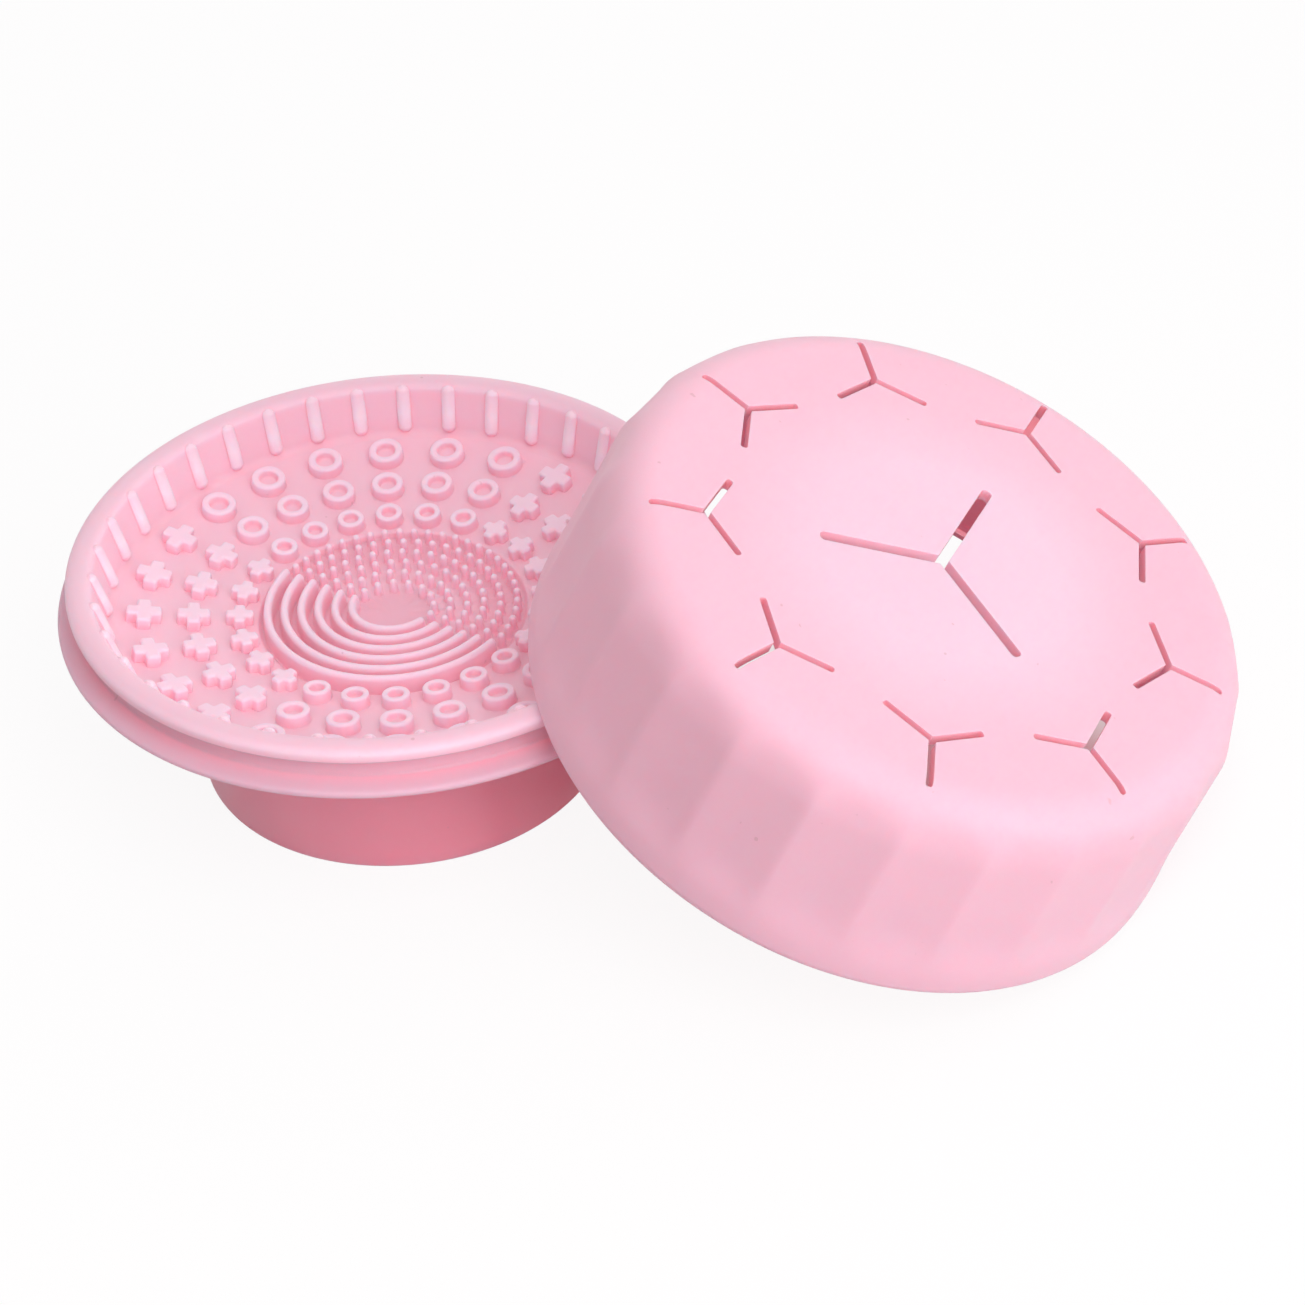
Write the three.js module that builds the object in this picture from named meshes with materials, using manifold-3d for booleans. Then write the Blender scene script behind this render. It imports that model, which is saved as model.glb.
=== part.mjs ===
// A two-piece silicone cleaner for cosmetic brushes, in millimetres, +Z up.
// The scrubbing dish stands on its foot. Its bowl has a ribbed wall, four sectors of ring and cross
// studs, and a round pad that is half ridges and half nubs. The cap is a fluted dome with Y-shaped
// slits that hold brushes by their handles. It is off the dish here and leans on the dish's lip.
import * as THREE from "three";
import { mergeVertices } from "three/addons/utils/BufferGeometryUtils.js";
import Module from "manifold-3d";

const wasm = await Module();
wasm.setup();

// ---- Dish: lip, groove and flange
const RIM_RADIUS = 52; // widest circle of the lip
const RIM_HEIGHT = 37.5; // that circle above the table
const LIP_WIDTH = 4.25; // from the rim in to the bowl's wall
const LIP_CROWN = 1.2; // rise of the rounded lip above its widest circle
const LIP_THICKNESS = 1.6; // from the rim down to the lip's underside
const GROOVE_DEPTH = 1.7; // how far the groove goes in under the rim
const GROOVE_HEIGHT = 3.1; // open height of the groove, which the cap's bead snaps into
const FLANGE_REACH = 1.95; // how far the flange stands out past the rim
const FLANGE_SLOPE = 0.9; // from the groove down to the flange's edge
const FLANGE_THICKNESS = 1;

// ---- Dish: bowl
const BOWL_DEPTH = 12.6; // from the rim down to the lowest point of the bowl's sphere
const BOWL_SPHERE_RADIUS = 220;
const WALL_DRAFT = 1.9; // how much narrower the bowl's wall is at its foot than at the lip
const FLOOR_THICKNESS = 2.4;
const RIB_COUNT = 38;
const RIB_RADIUS = 1.15;
const RIB_STAND_OUT = 1; // how far a rib stands out of the wall
const RIB_PHASE = 6; // degrees from +X to the first rib

// ---- Dish: studs, rings and crosses by turns round the bowl
const STUD_ROWS = [
  { width: 4.4, bore: 2.5, arm: 1.6 },
  { width: 5.3, bore: 3.1, arm: 1.9 },
  { width: 5.6, bore: 3.2, arm: 2 },
];
const STUD_PAD_GAP = 1.5; // from the pad out to the innermost row
const STUD_HEIGHT = 2.1; // square to the bowl's floor
const STUD_BORE_DEPTH = 1.6;
const STUD_DRAFT = 0.15; // how much wider a ring stud's radius is at its foot
const SECTOR_COUNT = 4;
const STUDS_PER_ROW = 6; // in one sector
const SECTOR_PHASE = 32.2; // degrees from +X to the middle of the first sector, which holds crosses

// ---- Dish: centre pad
const PAD_RADIUS = 21.4;
const PAD_DEPTH = 12.4; // from the rim down to the pad's flat floor
const PAD_DIVIDER_ANGLE = 169; // degrees from +X to the line between its ridges and its nubs
const PAD_RING_COUNT = 6;
const PAD_FIRST_RING = 6.7; // radius of the innermost ridge
const PAD_EDGE_GAP = 1; // from the outermost ridge to the pad's edge
const RIDGE_HEIGHT = 3.1;
const RIDGE_FOOT_WIDTH = 1.7;
const RIDGE_CREST_WIDTH = 1.2;
const RIDGE_END_GAP = 0.7; // from the dividing line to the ridges' ends
const NUB_PITCH = 2.55; // along each ring
const NUB_HEIGHT = 2.8;
const NUB_FOOT_RADIUS = 0.6;
const NUB_TIP_RADIUS = 0.42;

// ---- Dish: foot
const FOOT_RADIUS = 33.8; // outside, where it meets the table
const FOOT_SPREAD = 1.6; // how much wider it is under the bowl
const FOOT_WALL = 2.4;
const FOOT_EDGE = 0.3; // chamfer of its lowest edges

// ---- Cap (heights from its mouth)
const CAP_HEIGHT = 37.4;
const CAP_FLANGE_STEP = 0.1; // how far the mouth stays inside the dish's flange when the cap is on
const CAP_FLARE = 1.15; // how much wider the mouth's radius is than the shoulder's
const SHOULDER_RUN = 7.2; // from the shoulder's widest circle in to the flat of the top
const SHOULDER_DROP = 10;
const CAP_WALL = 2.1;
const MOUTH_ROUND = 1.4; // rounding of the mouth's outer edge
const LIP_CLEARANCE = 0.3; // round the dish's lip when the cap is on
const BEAD_CLEARANCE = 0.35; // between the cap's bead and the groove's walls
const FLUTE_COUNT = 24;
const FLUTE_DEPTH = 0.75; // at the middle of a flute
const FLUTE_PHASE = -0.6; // degrees from the cap's +X to the first ridge between flutes
const FLUTE_FADE = 3.5; // height in which the flutes fade in at the top and out above the mouth
const FLUTE_FOOT = 5; // from the mouth up to where they have faded out

// ---- Cap: Y-shaped slits
const SLIT_COUNT = 9;
const SLIT_INSET = 7.4; // from the edge of the flat top in to the middles of the outer slits
const SLIT_ARM = 9;
const SLIT_WIDTH = 1.4;
const SLIT_PHASE = 5.64; // degrees from the cap's +X to the first slit
const CENTRE_SLIT_MARGIN = 18.1; // from the circle of outer slits in to the middle slit's ends
const CENTRE_SLIT_WIDTH = 1.8;

// ---- How the cap leans on the dish
const LEAN_ANGLE = 24; // degrees
const CONTACT_GAP = 0.3; // left between the cap's mouth and the dish's lip

// ---- Faceting
const DISH_SEGMENTS = 48;
const CAP_SEGMENTS = 3 * FLUTE_COUNT;
const STUD_SIDES = 8;
const NUB_SIDES = 4;
const RIB_SIDES = 5;
const RIDGE_STEP = 2.6; // length of one facet along a ridge
const OVERLAP = 0.4; // how far a joined feature sinks into what carries it

// ---- Worked-out sizes
const wallTopRadius = RIM_RADIUS - LIP_WIDTH;
const wallFootRadius = wallTopRadius - WALL_DRAFT;
const grooveRadius = RIM_RADIUS - GROOVE_DEPTH;
const grooveTop = RIM_HEIGHT - LIP_THICKNESS;
const grooveFoot = grooveTop - GROOVE_HEIGHT;
const flangeRadius = RIM_RADIUS + FLANGE_REACH;
const flangeHeight = grooveFoot - FLANGE_SLOPE;
const padFloor = RIM_HEIGHT - PAD_DEPTH;
const mouthRadius = flangeRadius - CAP_FLANGE_STEP;
const shoulderRadius = mouthRadius - CAP_FLARE;
const capTopRadius = shoulderRadius - SHOULDER_RUN;
const slitCircleRadius = capTopRadius - SLIT_INSET;
const lean = THREE.MathUtils.degToRad(LEAN_ANGLE);

// Height of the bowl's spherical floor at a radius.
function bowlHeight(radius) {
  const rise = BOWL_SPHERE_RADIUS - Math.sqrt(BOWL_SPHERE_RADIUS ** 2 - radius ** 2);
  return RIM_HEIGHT - BOWL_DEPTH + rise;
}

// ---- Solids

// A closed geometry as a solid, with shared vertices merged and its faces pointing out.
function solid(geometry) {
  const bare = new THREE.BufferGeometry();
  bare.setAttribute("position", geometry.getAttribute("position"));
  bare.setIndex(geometry.getIndex());
  const merged = mergeVertices(bare, 1e-4);
  const position = merged.getAttribute("position");
  const [a, b, c] = [new THREE.Vector3(), new THREE.Vector3(), new THREE.Vector3()];
  const triangles = [];
  let volume = 0;
  for (let i = 0; i < merged.index.count; i += 3) {
    const triangle = [0, 1, 2].map((k) => merged.index.getX(i + k));
    if (new Set(triangle).size < 3) continue;
    [a, b, c].forEach((corner, k) => corner.fromBufferAttribute(position, triangle[k]));
    volume += a.dot(b.cross(c)) / 6;
    triangles.push(triangle);
  }
  const facing = volume < 0 ? triangles.map((triangle) => triangle.reverse()) : triangles;
  const triVerts = new Uint32Array(facing.flat());
  const vertProperties = new Float32Array(position.array);
  return new wasm.Manifold(new wasm.Mesh({ numProp: 3, vertProperties, triVerts }));
}

// The closed surface that spins an outline of (radius, height) points about +Z.
function spun(points, segments) {
  return new THREE.LatheGeometry(points, segments).rotateX(Math.PI / 2);
}

// A prism on a flat outline, from one height to another.
function prism(outline, from, to, curveSegments = 1) {
  const settings = { depth: to - from, bevelEnabled: false, curveSegments };
  return new THREE.ExtrudeGeometry(outline, settings).translate(0, 0, from);
}

// A feature moved out to a radius and turned about +Z with it.
function onCircle(geometry, radius, degrees) {
  return geometry.translate(radius, 0, 0).rotateZ(THREE.MathUtils.degToRad(degrees));
}

function meshOf(manifold, name, colour) {
  const { vertProperties, triVerts } = manifold.getMesh();
  const geometry = new THREE.BufferGeometry();
  geometry.setAttribute("position", new THREE.BufferAttribute(vertProperties, 3));
  geometry.setIndex(new THREE.BufferAttribute(triVerts, 1));
  const material = new THREE.MeshStandardMaterial({ color: colour, roughness: 0.55 });
  const mesh = new THREE.Mesh(geometry, material);
  mesh.name = name;
  return mesh;
}

// ---- Dish: shell

// The rounded lip, from the bowl's wall over its crown and round its edge into the groove.
function lipOutline() {
  const middle = RIM_RADIUS - LIP_WIDTH / 2;
  const path = new THREE.Path();
  path.moveTo(wallTopRadius, RIM_HEIGHT);
  path.absellipse(middle, RIM_HEIGHT, LIP_WIDTH / 2, LIP_CROWN, Math.PI, 0, true);
  path.quadraticCurveTo(RIM_RADIUS, grooveTop, grooveRadius, grooveTop);
  return path.getPoints(2);
}

// The groove, the flange below it and the underside in to the foot.
function flangeOutline() {
  const footTop = FOOT_RADIUS + FOOT_SPREAD;
  const underside = (radius) => bowlHeight(radius) - FLOOR_THICKNESS;
  const path = new THREE.Path();
  path.moveTo(grooveRadius, grooveFoot);
  path.quadraticCurveTo(grooveRadius, (grooveFoot + flangeHeight) / 2, flangeRadius, flangeHeight);
  path.lineTo(flangeRadius - FLANGE_THICKNESS / 2, flangeHeight - FLANGE_THICKNESS);
  const footJoin = underside(footTop) - FLOOR_THICKNESS / 2;
  path.quadraticCurveTo(wallFootRadius, underside(wallFootRadius), footTop, footJoin);
  return path.getPoints(2);
}

// The foot's wall and the hollow inside it, in to the axis under the pad.
function footOutline() {
  const inside = FOOT_RADIUS - FOOT_WALL;
  const insideTop = inside + FOOT_SPREAD;
  const ceiling = (radius) => bowlHeight(radius) - FLOOR_THICKNESS;
  const fillet = FLOOR_THICKNESS;
  return [
    new THREE.Vector2(FOOT_RADIUS, FOOT_EDGE),
    new THREE.Vector2(FOOT_RADIUS - FOOT_EDGE, 0),
    new THREE.Vector2(inside + FOOT_EDGE, 0),
    new THREE.Vector2(inside, FOOT_EDGE),
    new THREE.Vector2(insideTop, ceiling(insideTop) - fillet),
    new THREE.Vector2(insideTop - fillet, ceiling(insideTop - fillet)),
    new THREE.Vector2(PAD_RADIUS, padFloor - FLOOR_THICKNESS),
    new THREE.Vector2(0, padFloor - FLOOR_THICKNESS),
  ];
}

function dishShell() {
  const padEdge = PAD_RADIUS + Math.abs(bowlHeight(PAD_RADIUS) - padFloor);
  const floorMiddle = padEdge + (wallFootRadius - padEdge) / 4;
  const floor = [padEdge, floorMiddle, wallFootRadius];
  const outline = [
    new THREE.Vector2(0, padFloor),
    new THREE.Vector2(PAD_RADIUS, padFloor),
    ...floor.map((radius) => new THREE.Vector2(radius, bowlHeight(radius))),
    ...lipOutline(),
    ...flangeOutline(),
    ...footOutline(),
  ];
  return solid(spun(outline, DISH_SEGMENTS));
}

// ---- Dish: what stands on its floor and wall

// Round upright ribs on the bowl's wall, from its floor to the lip.
function ribs() {
  const foot = new THREE.Vector2(wallFootRadius, bowlHeight(wallFootRadius));
  const top = new THREE.Vector2(wallTopRadius, RIM_HEIGHT);
  const middle = foot.clone().add(top).divideScalar(2);
  const slope = Math.atan2(top.x - foot.x, top.y - foot.y);
  const inset = RIB_STAND_OUT - RIB_RADIUS;
  return Array.from({ length: RIB_COUNT }, (_, i) => {
    const rib = new THREE.CylinderGeometry(RIB_RADIUS, RIB_RADIUS, foot.distanceTo(top), RIB_SIDES);
    rib.rotateX(Math.PI / 2).rotateY(slope).translate(0, 0, middle.y);
    return solid(onCircle(rib, middle.x - inset, RIB_PHASE + (360 / RIB_COUNT) * i));
  });
}

// A tapered round stud with a blind bore in its top, up from the floor.
function ringStud({ width, bore }) {
  const boreFloor = STUD_HEIGHT - STUD_BORE_DEPTH;
  const outline = [
    new THREE.Vector2(0, -OVERLAP),
    new THREE.Vector2(width / 2 + STUD_DRAFT, -OVERLAP),
    new THREE.Vector2(width / 2, STUD_HEIGHT),
    new THREE.Vector2(bore / 2, STUD_HEIGHT),
    new THREE.Vector2(bore / 2 - STUD_DRAFT, boreFloor),
    new THREE.Vector2(0, boreFloor),
  ];
  return spun(outline, STUD_SIDES);
}

// A plus-shaped stud with its arms along and across the radius.
function crossStud({ width, arm }) {
  const corner = new THREE.Vector2(arm / 2, arm / 2);
  const armEnd = [new THREE.Vector2(arm / 2, width / 2), new THREE.Vector2(-arm / 2, width / 2)];
  const quarters = Array.from({ length: 4 }, (_, i) => (i * Math.PI) / 2);
  const turned = (angle) => [corner, ...armEnd].map((p) => p.clone().rotateAround({ x: 0, y: 0 }, angle));
  return prism(new THREE.Shape(quarters.flatMap(turned)), -OVERLAP, STUD_HEIGHT);
}

// The rows fill the bowl's floor evenly from the pad out to the ribbed wall. A stud stands square to
// the floor, so it leans in towards the bowl's middle.
function studs() {
  const widths = STUD_ROWS.reduce((sum, row) => sum + row.width, 0);
  const free = wallFootRadius - PAD_RADIUS - STUD_PAD_GAP - widths;
  const rowGap = free / STUD_ROWS.length;
  const sectorTurn = 360 / SECTOR_COUNT;
  const studTurn = sectorTurn / STUDS_PER_ROW;
  const made = [];
  let inner = PAD_RADIUS + STUD_PAD_GAP;
  for (const row of STUD_ROWS) {
    const radius = inner + row.width / 2;
    const slope = Math.asin(radius / BOWL_SPHERE_RADIUS);
    for (let i = 0; i < SECTOR_COUNT * STUDS_PER_ROW; i++) {
      const sector = Math.floor(i / STUDS_PER_ROW);
      const stud = sector % 2 ? ringStud(row) : crossStud(row);
      stud.rotateY(-slope).translate(0, 0, bowlHeight(radius));
      const degrees = SECTOR_PHASE + (i - (STUDS_PER_ROW - 1) / 2) * studTurn;
      made.push(solid(onCircle(stud, radius, degrees)));
    }
    inner += row.width + rowGap;
  }
  return made;
}

const ringPitch = (PAD_RADIUS - PAD_EDGE_GAP - PAD_FIRST_RING) / (PAD_RING_COUNT - 1);
const padRings = Array.from({ length: PAD_RING_COUNT }, (_, i) => PAD_FIRST_RING + i * ringPitch);

// Half rings of tapered section on one side of the pad's dividing line.
function padRidges() {
  const foot = padFloor - OVERLAP;
  const crest = padFloor + RIDGE_HEIGHT;
  const side = new THREE.Shape([
    new THREE.Vector2(-PAD_RADIUS, RIDGE_END_GAP),
    new THREE.Vector2(PAD_RADIUS, RIDGE_END_GAP),
    new THREE.Vector2(PAD_RADIUS, 2 * PAD_RADIUS),
    new THREE.Vector2(-PAD_RADIUS, 2 * PAD_RADIUS),
  ]);
  const half = solid(onCircle(prism(side, foot - OVERLAP, crest + OVERLAP), 0, PAD_DIVIDER_ANGLE));
  return padRings.map((radius) => {
    const outline = [
      new THREE.Vector2(radius - RIDGE_FOOT_WIDTH / 2, foot),
      new THREE.Vector2(radius + RIDGE_FOOT_WIDTH / 2, foot),
      new THREE.Vector2(radius + RIDGE_CREST_WIDTH / 2, crest),
      new THREE.Vector2(radius - RIDGE_CREST_WIDTH / 2, crest),
      new THREE.Vector2(radius - RIDGE_FOOT_WIDTH / 2, foot),
    ];
    return solid(spun(outline, Math.ceil((2 * Math.PI * radius) / RIDGE_STEP))).intersect(half);
  });
}

// Rows of small tapered nubs on the same rings, on the other side of the line.
function padNubs() {
  const height = NUB_HEIGHT + OVERLAP;
  const made = [];
  for (const radius of padRings) {
    const count = Math.round((Math.PI * radius) / NUB_PITCH);
    for (let i = 0; i < count; i++) {
      const nub = new THREE.CylinderGeometry(NUB_TIP_RADIUS, NUB_FOOT_RADIUS, height, NUB_SIDES);
      nub.rotateX(Math.PI / 2).translate(0, 0, padFloor - OVERLAP + height / 2);
      made.push(solid(onCircle(nub, radius, PAD_DIVIDER_ANGLE - (180 / count) * (i + 0.5))));
    }
  }
  return made;
}

function scrubbingDish() {
  return wasm.Manifold.union([dishShell(), ...ribs(), ...studs(), ...padRidges(), ...padNubs()]);
}

// ---- Cap

// The rounded edge of the mouth, from the outside wall to the inside one.
function mouthOutline() {
  const inside = RIM_RADIUS + LIP_CLEARANCE;
  const path = new THREE.Path();
  path.moveTo(mouthRadius, MOUTH_ROUND);
  path.quadraticCurveTo(mouthRadius, 0, (mouthRadius + inside) / 2, 0);
  path.quadraticCurveTo(inside, 0, inside, MOUTH_ROUND / 2);
  return path.getPoints(2);
}

// The outside, from the axis over the shoulder and down the wall to the mouth's edge.
function capOutside() {
  const shoulderFoot = CAP_HEIGHT - SHOULDER_DROP;
  const path = new THREE.Path();
  path.moveTo(0, CAP_HEIGHT);
  path.lineTo(capTopRadius, CAP_HEIGHT);
  path.absellipse(capTopRadius, shoulderFoot, SHOULDER_RUN, SHOULDER_DROP, Math.PI / 2, 0, true);
  path.lineTo(mouthRadius - CAP_FLARE / 4, FLUTE_FOOT + FLUTE_FADE);
  path.lineTo(mouthRadius, FLUTE_FOOT);
  return path.getPoints(2);
}

// The inside: the snap bead, room for the dish's lip, the wall, the shoulder and the ceiling.
function capInside() {
  const mouth = RIM_RADIUS + LIP_CLEARANCE;
  const beadFoot = MOUTH_ROUND;
  const beadTop = beadFoot + GROOVE_HEIGHT - 2 * BEAD_CLEARANCE;
  const lipRoom = beadTop + LIP_THICKNESS + LIP_CROWN + LIP_CLEARANCE;
  const wall = shoulderRadius - CAP_WALL;
  const ceiling = CAP_HEIGHT - CAP_WALL;
  const path = new THREE.Path();
  path.moveTo(mouth, beadFoot);
  path.lineTo(grooveRadius + BEAD_CLEARANCE, (beadFoot + beadTop) / 2);
  path.lineTo(mouth, beadTop);
  path.lineTo(mouth, lipRoom);
  path.lineTo(wall, CAP_HEIGHT - SHOULDER_DROP);
  path.quadraticCurveTo(wall, ceiling, capTopRadius - CAP_WALL, ceiling);
  path.lineTo(0, ceiling);
  return path.getPoints(2);
}

// Draws the outside wall in between the ridges, so that each flute is hollow across its width.
function flute(position, profileCount, outsideCount) {
  const fluteTurn = (2 * Math.PI) / FLUTE_COUNT;
  for (let i = 0; i < position.count; i++) {
    if (i % profileCount >= outsideCount) continue;
    const [x, y, z] = [position.getX(i), position.getY(i), position.getZ(i)];
    const fadeIn = THREE.MathUtils.smoothstep(CAP_HEIGHT - z, 0, FLUTE_FADE);
    const fadeOut = THREE.MathUtils.smoothstep(z, FLUTE_FOOT, FLUTE_FOOT + FLUTE_FADE);
    const turn = Math.atan2(y, x) / fluteTurn;
    const across = 2 * (turn - Math.floor(turn)) - 1;
    const depth = FLUTE_DEPTH * fadeIn * fadeOut * (1 - across ** 2);
    if (depth === 0) continue;
    const scale = 1 - depth / Math.hypot(x, y);
    position.setXY(i, x * scale, y * scale);
  }
}

function capShell() {
  const outside = capOutside();
  const profile = [...outside, ...mouthOutline(), ...capInside()];
  const shell = spun(profile, CAP_SEGMENTS);
  flute(shell.getAttribute("position"), profile.length, outside.length);
  return solid(shell.rotateZ(THREE.MathUtils.degToRad(FLUTE_PHASE)));
}

// A three-armed slit with rounded ends, to be cut through the top.
function slit(arm, width) {
  const crotch = width / 2 / Math.sin(Math.PI / 3);
  const outline = new THREE.Shape();
  outline.moveTo(crotch * Math.cos(-Math.PI / 3), crotch * Math.sin(-Math.PI / 3));
  for (let i = 0; i < 3; i++) {
    const angle = (i * 2 * Math.PI) / 3;
    const end = arm - width / 2;
    const [x, y] = [end * Math.cos(angle), end * Math.sin(angle)];
    outline.absarc(x, y, width / 2, angle - Math.PI / 2, angle + Math.PI / 2);
    outline.lineTo(crotch * Math.cos(angle + Math.PI / 3), crotch * Math.sin(angle + Math.PI / 3));
  }
  return prism(outline, CAP_HEIGHT - 3 * CAP_WALL, CAP_HEIGHT + CAP_WALL);
}

function dryingCap() {
  const centreArm = slitCircleRadius - CENTRE_SLIT_MARGIN;
  const slitTurn = 360 / SLIT_COUNT;
  const cutters = Array.from({ length: SLIT_COUNT }, (_, i) =>
    solid(onCircle(slit(SLIT_ARM, SLIT_WIDTH), slitCircleRadius, SLIT_PHASE + slitTurn * i)),
  );
  cutters.push(solid(onCircle(slit(centreArm, CENTRE_SLIT_WIDTH), 0, SLIT_PHASE + 2 * slitTurn)));
  return capShell().subtract(wasm.Manifold.union(cutters));
}

// ---- Where the leaning cap rests

// The least gap between the mouth's edge of the leaning cap and the dish's lip.
function mouthGap(cap) {
  const lip = lipOutline().map(({ x, y }) => new THREE.Vector3(x, y, 0));
  const spokes = Array.from({ length: 361 }, (_, i) => (Math.PI / 2) * (1 + i / 360));
  const [point, nearest] = [new THREE.Vector3(), new THREE.Vector3()];
  cap.updateMatrixWorld(true);
  let gap = Infinity;
  for (const { x: radius, y: height } of mouthOutline()) {
    for (const spoke of spokes) {
      point.set(radius * Math.cos(spoke), radius * Math.sin(spoke), height);
      cap.localToWorld(point);
      point.set(Math.hypot(point.x, point.y), point.z, 0);
      for (let i = 1; i < lip.length; i++) {
        new THREE.Line3(lip[i - 1], lip[i]).closestPointToPoint(point, true, nearest);
        gap = Math.min(gap, nearest.distanceTo(point));
      }
    }
  }
  return gap;
}

// Stands the cap's lowest edge on the table and slides it up to the dish until it all but touches.
function leanOnDish(cap) {
  cap.rotation.y = lean;
  cap.position.z -= new THREE.Box3().setFromObject(cap, true).min.z;
  cap.position.x = RIM_RADIUS + 2 * mouthRadius;
  for (let step = 1; step > 1e-3; cap.position.x -= step) step = mouthGap(cap) - CONTACT_GAP;
}

// ---- Assembly, with the origin on the table under the middle of the whole
const brushCleaner = new THREE.Group();
brushCleaner.name = "brush_cleaner";

const dish = meshOf(scrubbingDish(), "scrubbing_dish", 0xf0c4d5);
brushCleaner.add(dish);

const cap = meshOf(dryingCap(), "drying_cap", 0xf6cfde);
leanOnDish(cap);
brushCleaner.add(cap);

const extent = new THREE.Box3().setFromObject(brushCleaner, true);
for (const piece of brushCleaner.children) piece.position.x -= (extent.min.x + extent.max.x) / 2;

export default brushCleaner;
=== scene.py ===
import math

import bmesh
import bpy
from mathutils import Euler, Matrix, Vector
from mathutils.geometry import interpolate_bezier


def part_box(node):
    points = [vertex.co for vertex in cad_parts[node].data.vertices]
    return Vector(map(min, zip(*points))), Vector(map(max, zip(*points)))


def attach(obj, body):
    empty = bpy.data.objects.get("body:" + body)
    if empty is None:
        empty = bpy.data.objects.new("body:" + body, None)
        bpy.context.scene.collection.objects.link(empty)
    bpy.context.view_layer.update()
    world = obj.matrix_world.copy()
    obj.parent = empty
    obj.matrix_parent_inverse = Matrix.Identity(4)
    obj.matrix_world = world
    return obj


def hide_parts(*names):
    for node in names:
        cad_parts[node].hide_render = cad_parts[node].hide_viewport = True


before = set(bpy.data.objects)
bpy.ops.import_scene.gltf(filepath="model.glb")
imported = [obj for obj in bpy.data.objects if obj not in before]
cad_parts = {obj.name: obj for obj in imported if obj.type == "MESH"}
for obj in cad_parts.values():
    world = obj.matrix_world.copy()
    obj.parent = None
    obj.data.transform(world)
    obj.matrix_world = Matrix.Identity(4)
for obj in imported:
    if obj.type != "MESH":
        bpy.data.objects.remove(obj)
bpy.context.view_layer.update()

# ---- Dish: foot, bowl, lip, groove and flange
# The scrubbing dish is one shot of silicone. Its shell is one closed outline, spun about the
# dish's axis, and the next sections grow the ribs, studs, ridges and nubs out of it, as the mould
# does. Outlines are in mm, each mark a radius and a height, and the finished forms in metres.
dish_low, dish_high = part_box("scrubbing_dish")
dish_axis = (dish_low + dish_high) / 2
dish_axis.z = 0
dish_facets = 228  # round the axis, six to each rib
bowl_sphere = 220  # the bowl's floor is part of a sphere of this radius
bowl_centre_height = 244.9
pad_floor = 25.1
wall_foot = (46.2, 31)
weld = 1e-6  # corners that are nearer to each other than this are one


def floor_height(radius):
    """Height of the bowl's dished floor at a distance from the dish's axis."""
    return bowl_centre_height - math.sqrt(bowl_sphere**2 - radius**2)


def outline(start, *strokes):
    """Points of an outline from marks in mm: a corner, or two handles, an end and a count."""
    points = [Vector((start[0], 0, start[1]))]
    for stroke in strokes:
        if len(stroke) == 2:
            points.append(Vector((stroke[0], 0, stroke[1])))
        else:
            handle, second, end, count = stroke
            knots = [points[-1], *(Vector((r, 0, z)) for r, z in (handle, second, end))]
            points += interpolate_bezier(*knots, count + 1)[1:]
    return [point / 1000 for point in points]


def spun(points, steps, angle=2 * math.pi, centre=(0, 0, 0), closed=False):
    """The surface that an outline sweeps about an upright axis."""
    form = bmesh.new()
    corners = [form.verts.new(point) for point in points]
    ends = list(zip(corners, corners[1:])) + ([(corners[-1], corners[0])] if closed else [])
    edges = [form.edges.new(pair) for pair in ends]
    whole = angle == 2 * math.pi
    bmesh.ops.spin(
        form, geom=corners + edges, cent=centre, axis=(0, 0, 1), angle=angle, steps=steps,
        use_merge=whole, use_duplicate=False,
    )
    bmesh.ops.remove_doubles(form, verts=form.verts, dist=weld)
    bmesh.ops.recalc_face_normals(form, faces=form.faces)
    return form


shell_outline = outline(
    # the pad's floor, and the step that is round it
    (0, pad_floor), (7, pad_floor), (14, pad_floor), (21.2, pad_floor),
    ((21.55, pad_floor), (21.7, 25.2), (21.85, 25.55), 3),
    ((22, 25.9), (22.15, 26.02), (22.5, floor_height(22.5)), 3),
    # the bowl's floor and wall
    ((29.87, 26.81), (37.23, 27.94), (44.6, floor_height(44.6)), 14),
    ((45.4, 29.64), (45.95, 30), wall_foot, 6),
    ((46.65, 33), (47.2, 35.2), (47.65, 37.2), 6),
    # the lip, and the groove under it
    ((47.75, 37.9), (48.2, 38.7), (49.75, 38.7), 8),
    ((51.1, 38.7), (52, 38.3), (52, 37.4), 8),
    ((52, 36.4), (51.7, 35.9), (51.2, 35.9), 5),
    (50.7, 35.9), ((50.45, 35.9), (50.3, 35.75), (50.3, 35.5), 3),
    (50.3, 33.4), ((50.3, 32.95), (50.5, 32.8), (50.9, 32.72), 4),
    # the flange, and the bowl's underside
    (52, 32.47), (53.1, 32.24), ((53.6, 32.13), (53.95, 31.95), (53.95, 31.55), 4),
    ((53.95, 31.15), (53.75, 30.9), (53.3, 30.78), 4),
    ((48.4, 28.6), (43.3, 26.6), (38.3, 25.2), 8),
    # the foot's outside, the ring that it stands on, and its hollow
    ((36.4, 24.6), (35.5, 23.8), (35.3, 22.4), 6),
    (34.6, 12), (33.84, 0.5), ((33.82, 0.2), (33.7, 0), (33.4, 0), 4),
    (31.8, 0), ((31.5, 0), (31.42, 0.2), (31.42, 0.5), 4),
    (32.85, 20.9), ((33, 23.2), (32.2, 24.7), (30.2, 24.5), 6),
    ((27.3, 24.1), (24.4, 23.3), (21.8, 22.75), 5), (21.2, 22.7), (10, 22.7), (0, 22.7),
)
dish_form = spun(shell_outline, dish_facets)
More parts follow.
